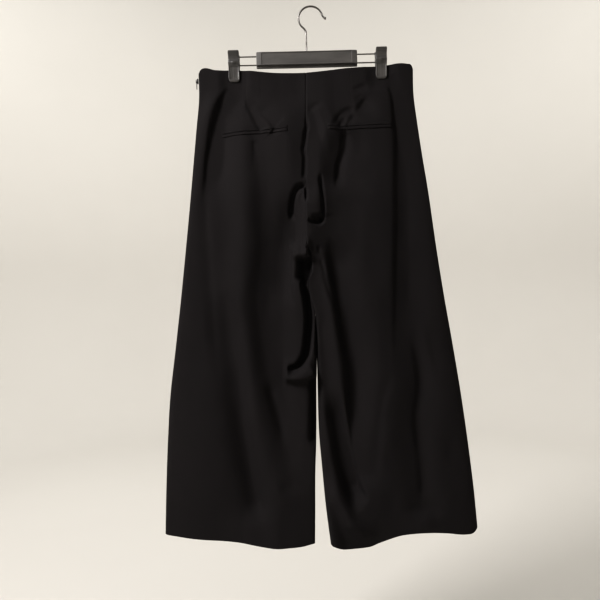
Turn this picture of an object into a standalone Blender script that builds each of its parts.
"""Culottes hanging from a clip hanger: wide legs, no waistband, jetted back pockets.

Frame: the origin is the inner crown of the hanger's hook. +Z is up, +X is to the
right as the culottes' back is seen, and that back faces -Y. "Left" and "right" are
the viewer's, and the wearer's too, because the back is what is seen. Metres.
"""

import math
from collections import namedtuple

import bmesh
import bpy
import numpy as np
from mathutils import Vector
from mathutils.bvhtree import BVHTree

MM = 0.001

# ---------------------------------------------------------------- driving dimensions
# Every size below is in millimetres until it goes into a mesh.

CLOTH = 1.2              # thickness of the suiting cloth
GAP = 0.3                # clearance between neighbouring pieces
HALF_GAP = GAP / 2

CROTCH_Z = -459.0        # where the four leg seams meet
CROTCH_TURN_Z = -370.0   # the centre seams start to curve under here
ROUNDNESS = 2.6          # superellipse power of the garment's flattened sections

# Side seams: height, then the left and the right seam's place.
Side = namedtuple("Side", "z left right")
SIDE_SEAMS = (
    Side(-120, -210, 187),
    Side(-166, -210, 187),
    Side(-222, -216, 193),
    Side(-277, -222, 200),
    Side(-350, -230, 210),
    Side(-443, -241, 221),
    Side(-535, -252, 233),
    Side(-628, -264, 247),
    Side(-720, -276, 260),
    Side(-812, -283, 271),
    Side(-905, -288, 280),
    Side(-980, -291, 285),
)

# Inner edges: the centre seam down to the crotch, then each leg's inseam.
Inner = namedtuple("Inner", "z left right")
INNER_EDGES = (
    Inner(-115, -11, -11),
    Inner(-280, -17, -17),
    Inner(-390, -22, -22),
    Inner(CROTCH_Z, -24, -24),
    Inner(-523, -12.5, -7.5),
    Inner(-600, -7.5, -3),
    Inner(-690, -5.5, -1.5),
    Inner(-785, -9, -3),
    Inner(-856, -14, 1.5),
    Inner(-930, -17, 7),
    Inner(-992, -20, 14),
)

# The waist edge sags between the clips; the hem hangs lower where the cloth bellies.
Edge = namedtuple("Edge", "x z")
WAIST_EDGE = (
    Edge(-210, -121),
    Edge(-206, -113),
    Edge(-198, -109.5),
    Edge(-178, -114),
    Edge(-143, -114.5),
    Edge(-72, -122),
    Edge(-11, -123.5),
    Edge(52, -118.5),
    Edge(128, -113),
    Edge(176, -110.5),
    Edge(184, -113.5),
    Edge(187, -121),
)
HEM_EDGE = (
    Edge(-291, -965),
    Edge(-272, -966),
    Edge(-243, -969),
    Edge(-184, -972),
    Edge(-154, -974.5),
    Edge(-110, -979.5),
    Edge(-66, -981),
    Edge(-20, -986),
    Edge(14, -986),
    Edge(60, -981),
    Edge(110, -975),
    Edge(160, -969),
    Edge(225, -968),
    Edge(260, -974),
    Edge(276, -974),
    Edge(285, -967),
)

# How far each layer bellies away from the side seams' plane.
Depth = namedtuple("Depth", "z back front")
DEPTHS = (
    Depth(-112, 6, 6),
    Depth(-160, 9, 8),
    Depth(-230, 16, 10),
    Depth(-330, 22, 13),
    Depth(-460, 25, 15),
    Depth(-640, 25, 17),
    Depth(-990, 25, 19),
)

# Folds: a path of (x, z) points down the cloth, the groove's half width, and its
# depth into the garment. A ridge, which stands out of the cloth, has a minus depth.
Fold = namedtuple("Fold", "name path width depth")
BACK_FOLDS = (
    Fold("drag from the left clip", ((-160, -128), (-190, -224), (-203, -313), (-214, -380)), 12, 9),
    Fold("groove under the right clip", ((147, -128), (152, -250), (147, -360), (140, -590)), 12, 10),
    Fold("valley beside that groove", ((158, -300), (164, -620), (171, -760), (166, -1000)), 26, 9),
    Fold("long ridge of the left leg", ((-150, -280), (-150, -510), (-114, -818), (-84, -960)), 26, -8),
    Fold("valley outside that ridge", ((-176, -500), (-156, -728), (-118, -955)), 20, 9),
    Fold("inner valley of the right leg", ((27, -444), (39, -570), (53, -690), (51, -800)), 17, 13),
    Fold("inner ridge of the right leg", ((4, -536), (24, -640), (40, -760)), 15, -7),
    Fold("bellied hem of the right leg", ((58, -880), (64, -1050)), 46, -18),
    Fold("bellied hem of the left leg", ((-78, -860), (-76, -1050)), 52, -9),
    Fold("hollow left of the crotch", ((-44, -350), (-56, -455), (-56, -520)), 15, 8),
)
FRONT_FOLDS = (
    Fold("ridge under the left clip", ((-140, -190), (-150, -420), (-176, -700), (-186, -1050)), 32, -8),
    Fold("valley of the left leg", ((-92, -420), (-104, -640), (-122, -1000)), 26, 8),
    Fold("inner ridge of the left leg", ((-40, -620), (-56, -1050)), 30, -9),
    Fold("ridge under the right clip", ((126, -190), (134, -420), (158, -700), (172, -1050)), 34, -8),
    Fold("valley of the right leg", ((74, -420), (84, -640), (104, -1000)), 28, 9),
    Fold("inner ridge of the right leg", ((26, -620), (44, -1050)), 28, -8),
)
FOLD_END = 70.0          # a fold fades out over this height at each end

CLIP_X = (-143.5, 128.0)     # the clips' middles
PINCH_FLAT = 27.0            # half width held flat by a clip
PINCH_FADE = 42.0            # over which the layers part again beside a clip
PINCH_LOW = -146.0           # lowest level held flat
PINCH_FADE_Z = 75.0
PINCHED = CLOTH + GAP        # a layer's outer face from the middle, between the jaws
APART = 2.5                  # the least elsewhere
FILL_POWER = 4               # how fast a held layer reaches its thickness from the seam

ROWS_TO_CROTCH = 12
ROWS_TO_HEM = 18
BACK_COLUMNS = 18
FRONT_COLUMNS = 12
NOSE_CROWDING = 0.75         # how strongly columns crowd at a panel's side edges

# Pockets: each lip is a strip laid on the cloth, one over the slit and one under it.
Pocket = namedtuple("Pocket", "name x0 z0 x1 z1")
POCKETS = (
    Pocket("left", -168, -237, -47, -233.5),
    Pocket("right", 25, -232, 145, -227.5),
)
LIP_HEIGHT = 5.4
LIP_THICKNESS = 0.8
SLIT = 0.6
LIP_LIFT = 0.45              # clearance of a lip's underside over the panel's facets
LIP_COLUMNS = 12

# The concealed zip in the left side seam.
ZIP_TOP_Z = -125.0
ZIP_BOTTOM_Z = -300.0
TAPE_WIDTH = 13.0
TAPE_THICKNESS = 0.9
TAPE_INSET = 2.7             # from the seam to the tape's near edge
TAPE_ROWS = 9
SLIDER_Z = -132.0
SLIDER = (2.2, 5.0, 9.0)     # across x, y and z
STAPLE_DEPTH = 2.5
STAPLE_HEIGHT = 6.0
STAPLE_WIRE = 0.8
STAPLE_WIDTH = 1.4
STAPLE_ROOT = 0.5            # how far the staple's feet reach into the slider
PULL_LENGTH = 15.0
PULL_WIDTH = 4.6
PULL_THICKNESS = 0.8
PULL_BAR = 0.8               # the bar of the pull that the staple holds
PULL_CORNER = 0.5
PULL_WINDOW = (2.2, 3.6)     # width and height of the window the staple runs through

# The hanger.
HOOK_WIRE = 1.75             # radius
HOOK_RADIUS = 22.25          # centre line of the loop
HOOK_CENTRE_Z = HOOK_WIRE - HOOK_RADIUS
HOOK_FROM, HOOK_TO = 12.0, 225.0       # degrees of the loop's round stretch
HOOK_POINTS = 27
STEM_X = -8.9
HOOK_TIP = ((27.4, -21.2), (25.4, -20.0), (23.6, -18.2))       # x and z of the flared tip
HOOK_NECK = ((-12.6, -39.3), (-10.4, -42.4), (-9.3, -45.8), (STEM_X, -50.0))
BAR_X = (-102.0, 84.0)
BAR_TOP_Z = -82.3
BAR_HEIGHT = 25.0
BAR_DEPTH = 12.0
BAR_ROUND = 2.0
STEM_DEPTH = 15.0            # how far the stem goes into the bar
ROD_WIRE = 1.15              # radius
ROD_Z = (-89.0, -104.8)
ROD_IN_BAR = 12.0
ROD_IN_BRACKET = 7.0
BRACKET = (12.4, 8.0, 21.0)
PIN_RADIUS = 1.6
PIN_LENGTH = 21.0
CHEEK_RADIUS = 3.7
CHEEK_THICKNESS = 1.3
CHEEK_ROOT = (5.4, 5.5)      # where a cheek leaves its lever: depth, and half height there
CHEEK_ARC = 75.0             # degrees of its round end to each side
FRONT_CHEEK_X = 9.0          # middle of a cheek, from the clip's middle
BACK_CHEEK_X = 7.3

# A clip's lever from its finger tab to its jaw: height, distance of the outer and
# the inner face from the clip's middle plane, and half width.
Section = namedtuple("Section", "z outer inner half")
LEVER = (
    Section(-75.8, 11.6, 8.8, 9.4),
    Section(-78.0, 11.4, 8.0, 10.0),
    Section(-88.0, 9.0, 4.4, 10.0),
    Section(-95.0, 8.0, 4.4, 10.1),
    Section(-101.0, 8.7, 4.4, 10.2),
    Section(-106.0, 7.2, 4.4, 10.0),
    Section(-117.0, 5.8, 1.9, 9.9),
    Section(-131.0, 5.2, 1.9, 9.9),
    Section(-134.6, 4.8, 1.9, 8.2),
    Section(-136.2, 3.8, 2.3, 6.0),
)

# ---------------------------------------------------------------- scene, names, finishes

COLLECTION = "culottes_on_clip_hanger"


def clear_scene():
    for thing in list(bpy.data.objects):
        bpy.data.objects.remove(thing, do_unlink=True)
    for name in (COLLECTION, "cutters"):
        group = bpy.data.collections.new(name)
        bpy.context.scene.collection.children.link(group)


def material(name, colour, roughness, metallic=0.0):
    finish = bpy.data.materials.get(name) or bpy.data.materials.new(name)
    finish.use_nodes = True
    shader = finish.node_tree.nodes["Principled BSDF"]
    shader.inputs["Base Color"].default_value = (*colour, 1.0)
    shader.inputs["Roughness"].default_value = roughness
    shader.inputs["Metallic"].default_value = metallic
    finish.diffuse_color = (*colour, 1.0)
    return finish


def black_suiting():
    return material("black_suiting", (0.013, 0.012, 0.0125), 0.85)


def hanger_plastic():
    return material("hanger_plastic", (0.045, 0.042, 0.04), 0.42)


def dark_steel():
    return material("dark_steel", (0.16, 0.155, 0.15), 0.32, 1.0)


def zip_enamel():
    return material("zip_enamel", (0.02, 0.02, 0.02), 0.35, 0.3)


def add(name, mesh, finish, at=(0.0, 0.0, 0.0)):
    """Puts one named sub-part into the object's collection."""
    thing = bpy.data.objects.new(name, mesh)
    thing.location = at
    mesh.materials.append(finish)
    bpy.data.collections[COLLECTION].objects.link(thing)
    return thing


def mesh_from_bmesh(name, shape):
    bmesh.ops.recalc_face_normals(shape, faces=shape.faces)
    mesh = bpy.data.meshes.new(name)
    shape.to_mesh(mesh)
    shape.free()
    return mesh


def box_mesh(name, size, centre=(0.0, 0.0, 0.0)):
    """A box of the given size in millimetres, centred on a point in millimetres."""
    shape = bmesh.new()
    bmesh.ops.create_cube(shape, size=1.0)
    bmesh.ops.scale(shape, vec=Vector(size) * MM, verts=shape.verts)
    bmesh.ops.translate(shape, vec=Vector(centre) * MM, verts=shape.verts)
    return mesh_from_bmesh(name, shape)


def rod_mesh(name, radius, length, axis, sides=16):
    """A round rod in millimetres, centred on the origin along "X" or "Z"."""
    shape = bmesh.new()
    bmesh.ops.create_cone(shape, cap_ends=True, segments=sides, radius1=radius * MM,
                          radius2=radius * MM, depth=length * MM)
    mesh = mesh_from_bmesh(name, shape)
    if axis == "X":
        turn = np.array([[0.0, 0.0, 1.0], [0.0, 1.0, 0.0], [-1.0, 0.0, 0.0]])
        points = np.array([v.co for v in mesh.vertices]) @ turn.T
        mesh.vertices.foreach_set("co", points.ravel())
        mesh.update()
    return mesh


def round_edges(thing, width, segments=2, angle=40.0):
    bevel = thing.modifiers.new("rounded edges", "BEVEL")
    bevel.width = width * MM
    bevel.segments = segments
    bevel.limit_method = "ANGLE"
    bevel.angle_limit = math.radians(angle)


def cutter(name, mesh, at):
    """A hidden tool shape; at is in millimetres."""
    tool = bpy.data.objects.new(name, mesh)
    tool.location = Vector(at) * MM
    tool.hide_render = True
    tool.display_type = "WIRE"
    bpy.data.collections["cutters"].objects.link(tool)
    return tool


def combine(thing, tool, operation):
    step = thing.modifiers.new(f"{operation.lower()} {tool.name}", "BOOLEAN")
    step.operation = operation
    step.solver = "EXACT"
    step.object = tool


# ---------------------------------------------------------------- cloth panels


def column(rows, name):
    return np.array([getattr(row, name) for row in rows], float)


def table(rows, key, value, at):
    """Reads a table at any place, straight between its rows."""
    keys, values = column(rows, key), column(rows, value)
    order = np.argsort(keys)
    return np.interp(at, keys[order], values[order])


def ease(x, start, end):
    """0 before start, 1 after end, and a smooth step between them."""
    t = np.clip((x - start) / (end - start), 0.0, 1.0)
    return t * t * (3.0 - 2.0 * t)


def fold_depth(fold, x, z):
    """A bell across the fold's path, fading out over FOLD_END past both ends."""
    path = np.array(fold.path, float)[::-1]
    away = x - np.interp(z, path[:, 1], path[:, 0])
    low, high = path[0, 1], path[-1, 1]
    along = ease(z, low - FOLD_END / 2, low + FOLD_END / 2)
    along = along * (1.0 - ease(z, high - FOLD_END / 2, high + FOLD_END / 2))
    return fold.depth * np.exp(-((away / fold.width) ** 2)) * along


def pinch(x, z):
    """1 where a clip holds both layers flat, 0 where they hang free."""
    held = np.zeros_like(x)
    for middle in CLIP_X:
        across = 1.0 - ease(np.abs(x - middle), PINCH_FLAT, PINCH_FLAT + PINCH_FADE)
        held = np.maximum(held, across)
    return held * ease(z, PINCH_LOW - PINCH_FADE_Z, PINCH_LOW)


def section(across, centre):
    """How full the section is from the side seam (0) to the inner edge (1).

    A superellipse quarter rises from the side seam. At the inner edge it comes to
    centre: 1 where the panel runs on flat over the centre seam, 0 where it closes
    round a leg's inseam.
    """
    rise = (1.0 - (1.0 - across) ** ROUNDNESS) ** (1.0 / ROUNDNESS)
    fall = (1.0 - across ** ROUNDNESS * (1.0 - centre ** ROUNDNESS)) ** (1.0 / ROUNDNESS)
    return rise * fall


def layers(x, z, fullness):
    """The outer faces of the back and of the front layer at (x, z).

    Held flat, a layer keeps its thickness almost to the seam, so there the section
    fills up at once; hanging free, it swells with the section's own round.
    """
    held = pinch(x, z)
    filled = 1.0 - (1.0 - fullness) ** FILL_POWER
    least = HALF_GAP + (PINCHED * held + APART * (1.0 - held) - HALF_GAP) * filled
    flat = HALF_GAP + (PINCHED - HALF_GAP) * held * filled
    free = fullness * (1.0 - held)
    back = flat + (table(DEPTHS, "z", "back", z) - HALF_GAP) * free
    front = flat + (table(DEPTHS, "z", "front", z) - HALF_GAP) * free
    for fold in BACK_FOLDS:
        back = back - fold_depth(fold, x, z) * free
    for fold in FRONT_FOLDS:
        front = front - fold_depth(fold, x, z) * free
    front = np.maximum(front, 2.0 * least - back)
    return -back, front


def panel_faces(layer, side, columns):
    """Outer face of one panel as a grid: rows from waist to hem, columns from the
    side seam to the inner edge. Returns points and the inward normals."""
    to_crotch = np.linspace(0.0, 1.0, ROWS_TO_CROTCH + 1)
    to_hem = np.linspace(0.0, 1.0, ROWS_TO_HEM + 1)[1:]
    waist = table(WAIST_EDGE, "x", "z", 0.0)
    hem = table(HEM_EDGE, "x", "z", 0.0)
    level = np.concatenate([waist + (CROTCH_Z - waist) * to_crotch,
                            CROTCH_Z + (hem - CROTCH_Z) * to_hem])[:, None]
    step = np.linspace(0.0, 1.0, columns + 1)[None, :]
    crowded = (1.0 - np.cos(math.pi * step)) / 2.0
    across = (1.0 - NOSE_CROWDING) * step + NOSE_CROWDING * crowded

    inward = 1.0 if side == "left" else -1.0
    seam = table(SIDE_SEAMS, "z", side, level)
    inner = table(INNER_EDGES, "z", side, level) - inward * HALF_GAP
    x = seam + (inner - seam) * across
    above = level >= CROTCH_Z
    share = np.where(above, (waist - level) / (waist - CROTCH_Z), (CROTCH_Z - level) / (CROTCH_Z - hem))
    top = table(WAIST_EDGE, "x", "z", x)
    bottom = table(HEM_EDGE, "x", "z", x)
    z = np.where(above, top + (CROTCH_Z - top) * share, CROTCH_Z + (bottom - CROTCH_Z) * share)

    turn = np.clip((CROTCH_TURN_Z - level) / (CROTCH_TURN_Z - CROTCH_Z), 0.0, 1.0)
    centre = np.sqrt(1.0 - turn ** 2)
    back, front = layers(x, z, section(across, centre))
    y = back if layer == "back" else front
    points = np.stack([x, y, z], axis=-1)

    down = np.gradient(points, axis=0)
    over = np.gradient(points, axis=1)
    normal = np.cross(over, down)
    outward = -1.0 if layer == "back" else 1.0
    normal *= -np.sign(normal[:, columns // 2, 1] * outward)[:, None, None]
    normal[:, 0] = (inward, 0.0, 0.0)
    closed = ~above[:, 0]
    normal[:, -1, 0] = np.where(closed, -inward, 0.0)
    normal[:, -1, 1] = np.where(closed, 0.0, -outward)
    normal[:, -1, 2] = np.where(closed, 0.0, turn[:, 0] * (1.0 - centre[:, 0]))
    normal[ROWS_TO_CROTCH, -1] = (-inward, 0.0, 1.0)
    normal[0, :, 2] = 0.0
    normal[-1, :, 2] = 0.0
    normal /= np.linalg.norm(normal, axis=-1, keepdims=True)
    return points, normal


def grid_triangles(rows, columns, start=0):
    """Two triangles for each cell of a grid of points stored row by row."""
    at = start + np.arange(rows * columns).reshape(rows, columns)
    a, b, c, d = at[:-1, :-1], at[:-1, 1:], at[1:, 1:], at[1:, :-1]
    one = np.stack([a, b, c], axis=-1).reshape(-1, 3)
    two = np.stack([a, c, d], axis=-1).reshape(-1, 3)
    return np.concatenate([one, two])


def rim_quads(rows, columns):
    """Joins the border of an outer grid to that of the inner grid stored after it."""
    at = np.arange(rows * columns).reshape(rows, columns)
    border = np.concatenate([at[0, :-1], at[:-1, -1], at[-1, :0:-1], at[:0:-1, 0]])
    after = np.roll(border, -1)
    shift = rows * columns
    return np.stack([border, after, after + shift, border + shift], axis=-1)


def wall(name, outer, inner):
    """A closed wall between two grids of points in millimetres."""
    rows, columns = outer.shape[:2]
    points = np.concatenate([outer.reshape(-1, 3), inner.reshape(-1, 3)]) * MM
    faces = grid_triangles(rows, columns).tolist()
    faces += grid_triangles(rows, columns, rows * columns).tolist()
    faces += rim_quads(rows, columns).tolist()
    grid = bpy.data.meshes.new(name)
    grid.from_pydata(points.tolist(), [], faces)
    shape = bmesh.new()
    shape.from_mesh(grid)
    bpy.data.meshes.remove(grid)
    return mesh_from_bmesh(name, shape)


def add_panels():
    """The four cloth panels. Returns the two back panels' outer faces."""
    outsides = {}
    for layer, columns in (("back", BACK_COLUMNS), ("front", FRONT_COLUMNS)):
        for side in ("left", "right"):
            outer, normal = panel_faces(layer, side, columns)
            name = f"{layer}_{side}"
            add(name, wall(name, outer, outer + normal * CLOTH), black_suiting())
            if layer == "back":
                outsides[side] = outer
    return outsides


# ---------------------------------------------------------------- pocket lips


def laid_on(outer, x, z):
    """Points and outward normals of the back panel's facets at (x, z)."""
    rows, columns = outer.shape[:2]
    facets = BVHTree.FromPolygons(outer.reshape(-1, 3).tolist(), grid_triangles(rows, columns).tolist())
    points, normals = [], []
    for place in zip(x.ravel(), z.ravel()):
        hit, normal, _, _ = facets.ray_cast(Vector((place[0], -200.0, place[1])), Vector((0.0, 1.0, 0.0)))
        points.append(hit)
        normals.append(normal if normal.y < 0.0 else -normal)
    shape = (*x.shape, 3)
    return np.array(points).reshape(shape), np.array(normals).reshape(shape)


def add_pocket(pocket, outer):
    """The two lips of one jetted pocket, the slit between them."""
    along = np.linspace(0.0, 1.0, LIP_COLUMNS + 1)[None, :]
    for name, low, high in (("upper", SLIT / 2, SLIT / 2 + LIP_HEIGHT),
                            ("lower", -SLIT / 2 - LIP_HEIGHT, -SLIT / 2)):
        off = np.array([high, low])[:, None]
        x = pocket.x0 + (pocket.x1 - pocket.x0) * along + 0.0 * off
        z = pocket.z0 + (pocket.z1 - pocket.z0) * along + off
        points, normals = laid_on(outer, x, z)
        under = points + normals * LIP_LIFT
        over = points + normals * (LIP_LIFT + LIP_THICKNESS)
        node = f"pocket_{pocket.name}_{name}_lip"
        add(node, wall(node, over, under), black_suiting())


# ---------------------------------------------------------------- the concealed zip


def add_zip_tape():
    """The two tapes lie together inside the left side seam, like a fin."""
    z = np.linspace(ZIP_TOP_Z, ZIP_BOTTOM_Z, TAPE_ROWS)
    near = table(SIDE_SEAMS, "z", "left", z) + TAPE_INSET
    x = np.stack([near, near + TAPE_WIDTH], axis=-1)
    flat = np.stack([x, np.zeros_like(x), np.repeat(z[:, None], 2, axis=1)], axis=-1)
    shift = np.array([0.0, TAPE_THICKNESS / 2, 0.0])
    add("zip_tape", wall("zip_tape", flat - shift, flat + shift), black_suiting())


def slider_place():
    """Where the slider's outer face and the pull's turning axis are, in millimetres."""
    face = table(SIDE_SEAMS, "z", "left", SLIDER_Z) - GAP - SLIDER[0]
    axis = face - (STAPLE_DEPTH - STAPLE_WIRE) / 2
    return float(face), float(axis)


def add_zip_slider():
    face, _ = slider_place()
    middle = (face + SLIDER[0] / 2, 0.0, SLIDER_Z)
    slider = add("zip_slider", box_mesh("zip_slider", SLIDER, middle), zip_enamel())
    round_edges(slider, 0.5, 1)
    whole = box_mesh("staple", (STAPLE_DEPTH + STAPLE_ROOT, STAPLE_WIDTH, STAPLE_HEIGHT))
    staple = cutter("staple", whole, (face + (STAPLE_ROOT - STAPLE_DEPTH) / 2, 0.0, SLIDER_Z))
    hollow = box_mesh("staple_hollow", (STAPLE_DEPTH - STAPLE_WIRE, 2 * STAPLE_WIDTH,
                                        STAPLE_HEIGHT - 2 * STAPLE_WIRE))
    combine(staple, cutter("staple_hollow", hollow,
                           (face - (STAPLE_DEPTH - STAPLE_WIRE) / 2, 0.0, SLIDER_Z)), "DIFFERENCE")
    combine(slider, staple, "UNION")


def flat_outline(name, loops, thickness):
    """A flat curve filled between its loops, in millimetres, with a thickness."""
    data = bpy.data.curves.new(name, "CURVE")
    data.dimensions = "2D"
    data.fill_mode = "BOTH"
    data.extrude = thickness / 2 * MM
    for loop in loops:
        spline = data.splines.new("POLY")
        spline.points.add(len(loop) - 1)
        for point, (x, y) in zip(spline.points, loop):
            point.co = (x * MM, y * MM, 0.0, 1.0)
        spline.use_cyclic_u = True
    return data


def add_zip_pull():
    """A flat tab with a window, hanging from the staple; its origin is on the hinge."""
    _, axis = slider_place()
    half, tip = PULL_WIDTH / 2, -PULL_LENGTH + PULL_WIDTH / 2
    turns = np.radians(np.linspace(180.0, 360.0, 9))
    rounded = [(half * math.cos(a), tip + half * math.sin(a)) for a in turns]
    top = PULL_BAR / 2
    outline = [(half - PULL_CORNER, top), (PULL_CORNER - half, top), (-half, top - PULL_CORNER)]
    outline += rounded + [(half, top - PULL_CORNER)]
    width, height = PULL_WINDOW
    window = [(-width / 2, -top), (width / 2, -top), (width / 2, -top - height), (-width / 2, -top - height)]
    data = flat_outline("zip_pull", (outline, window), PULL_THICKNESS)
    data.materials.append(zip_enamel())
    pull = bpy.data.objects.new("zip_pull", data)
    pull.location = Vector((axis, 0.0, SLIDER_Z)) * MM
    pull.rotation_euler = (math.pi / 2, 0.0, math.pi / 2)
    bpy.data.collections[COLLECTION].objects.link(pull)


# ---------------------------------------------------------------- the hanger


def wire(name, points, radius, finish):
    """A round wire through points in millimetres."""
    data = bpy.data.curves.new(name, "CURVE")
    data.dimensions = "3D"
    data.bevel_depth = radius * MM
    data.bevel_resolution = 2
    data.use_fill_caps = True
    spline = data.splines.new("POLY")
    spline.points.add(len(points) - 1)
    for point, place in zip(spline.points, points):
        point.co = (*(Vector(place) * MM), 1.0)
    data.materials.append(finish)
    thing = bpy.data.objects.new(name, data)
    bpy.data.collections[COLLECTION].objects.link(thing)
    return thing


def hook_points():
    """Flared tip, the round loop, then an easy bend down into the straight stem."""
    turns = np.radians(np.linspace(HOOK_FROM, HOOK_TO, HOOK_POINTS))
    loop = [(HOOK_RADIUS * math.cos(a), HOOK_CENTRE_Z + HOOK_RADIUS * math.sin(a)) for a in turns]
    route = [*HOOK_TIP, *loop, *HOOK_NECK, (STEM_X, BAR_TOP_Z - STEM_DEPTH)]
    return [(x, 0.0, z) for x, z in route]


def add_bar():
    length = BAR_X[1] - BAR_X[0]
    middle_x, middle_z = sum(BAR_X) / 2, BAR_TOP_Z - BAR_HEIGHT / 2
    block = box_mesh("hanger_bar", (length, BAR_DEPTH, BAR_HEIGHT), (middle_x, 0.0, middle_z))
    bar = add("hanger_bar", block, hanger_plastic())
    round_edges(bar, BAR_ROUND)
    bore = rod_mesh("stem_bore", HOOK_WIRE + GAP, 2 * (STEM_DEPTH + GAP), "Z")
    combine(bar, cutter("stem_bore", bore, (STEM_X, 0.0, BAR_TOP_Z)), "DIFFERENCE")
    for end in BAR_X:
        for z in ROD_Z:
            name = f"rod_bore_{'left' if end < 0 else 'right'}_{'upper' if z == ROD_Z[0] else 'lower'}"
            bore = rod_mesh(name, ROD_WIRE + GAP, 2 * (ROD_IN_BAR + GAP), "X")
            combine(bar, cutter(name, bore, (end, 0.0, z)), "DIFFERENCE")


def loft(name, sections, outward):
    """A solid through oblong sections, the outer face on the side of outward."""
    shape = bmesh.new()
    rings = []
    for row in sections:
        outer_edge = (-row.half, row.outer), (row.half, row.outer)
        inner_edge = (row.half, row.inner), (-row.half, row.inner)
        corners = outer_edge + inner_edge
        rings.append([shape.verts.new(Vector((x, outward * d, row.z)) * MM) for x, d in corners])
    for one, two in zip(rings, rings[1:]):
        for k in range(4):
            shape.faces.new((one[k], one[(k + 1) % 4], two[(k + 1) % 4], two[k]))
    shape.faces.new(rings[0])
    shape.faces.new(rings[-1])
    return mesh_from_bmesh(name, shape)


def cheek_mesh(name, outward, middle):
    """A plate from a lever's inner face to a round eye about the pin."""
    pin_z = sum(ROD_Z) / 2
    root, half = CHEEK_ROOT
    arc = np.radians(np.linspace(-CHEEK_ARC, CHEEK_ARC, 9))
    outline = [(-CHEEK_RADIUS * math.cos(a), pin_z - CHEEK_RADIUS * math.sin(a)) for a in arc]
    outline = [(root, pin_z + half)] + outline + [(root, pin_z - half)]
    shape = bmesh.new()
    ring = [shape.verts.new(Vector((middle - CHEEK_THICKNESS / 2, outward * d, z)) * MM) for d, z in outline]
    face = shape.faces.new(ring)
    moved = bmesh.ops.extrude_face_region(shape, geom=[face])["geom"]
    moved = [v for v in moved if isinstance(v, bmesh.types.BMVert)]
    bmesh.ops.translate(shape, vec=(CHEEK_THICKNESS * MM, 0.0, 0.0), verts=moved)
    return mesh_from_bmesh(name, shape)


def add_clip(side, middle):
    """Two pinned levers that pinch the waist, on the bracket that the rods enter."""
    pin_z = sum(ROD_Z) / 2
    inward = 1.0 if side == "left" else -1.0
    for face, outward, cheek_x in (("front", -1.0, FRONT_CHEEK_X), ("rear", 1.0, BACK_CHEEK_X)):
        name = f"clip_{side}_{face}_lever"
        lever = add(name, loft(name, LEVER, outward), hanger_plastic(), Vector((middle, 0.0, 0.0)) * MM)
        round_edges(lever, 0.7, 1)
        for place in (-cheek_x, cheek_x):
            label = f"{name}_cheek_{'a' if place < 0 else 'b'}"
            combine(lever, cutter(label, cheek_mesh(label, outward, place), (middle, 0.0, 0.0)), "UNION")
        bore = rod_mesh(f"{name}_eye", PIN_RADIUS + GAP, 2 * PIN_LENGTH, "X")
        combine(lever, cutter(f"{name}_eye", bore, (middle, 0.0, pin_z)), "DIFFERENCE")

    name = f"clip_{side}_bracket"
    place = Vector((middle, 0.0, 0.0)) * MM
    bracket = add(name, box_mesh(name, BRACKET, (0.0, 0.0, pin_z)), dark_steel(), place)
    round_edges(bracket, 0.8, 1)
    bore = rod_mesh(f"{name}_eye", PIN_RADIUS + GAP, 2 * PIN_LENGTH, "X")
    combine(bracket, cutter(f"{name}_eye", bore, (middle, 0.0, pin_z)), "DIFFERENCE")
    edge = middle + inward * BRACKET[0] / 2
    for z in ROD_Z:
        label = f"{name}_rod_bore_{'upper' if z == ROD_Z[0] else 'lower'}"
        bore = rod_mesh(label, ROD_WIRE + GAP, 2 * (ROD_IN_BRACKET + GAP), "X")
        combine(bracket, cutter(label, bore, (edge, 0.0, z)), "DIFFERENCE")

    name = f"clip_{side}_pin"
    add(name, rod_mesh(name, PIN_RADIUS, PIN_LENGTH, "X"), dark_steel(), Vector((middle, 0.0, pin_z)) * MM)


def add_rods(side, middle, bar_end):
    inward = 1.0 if side == "left" else -1.0
    outer = middle + inward * (BRACKET[0] / 2 - ROD_IN_BRACKET)
    inner = bar_end + inward * ROD_IN_BAR
    for label, z in zip(("upper", "lower"), ROD_Z):
        name = f"rod_{side}_{label}"
        mesh = rod_mesh(name, ROD_WIRE, abs(inner - outer), "X", 12)
        add(name, mesh, dark_steel(), Vector(((outer + inner) / 2, 0.0, z)) * MM)


def add_hanger():
    wire("hanger_hook", hook_points(), HOOK_WIRE, dark_steel())
    add_bar()
    for side, middle, bar_end in zip(("left", "right"), CLIP_X, BAR_X):
        add_clip(side, middle)
        add_rods(side, middle, bar_end)


# ---------------------------------------------------------------- build


def main():
    clear_scene()
    outsides = add_panels()
    for pocket in POCKETS:
        add_pocket(pocket, outsides[pocket.name])
    add_zip_tape()
    add_zip_slider()
    add_zip_pull()
    add_hanger()


main()
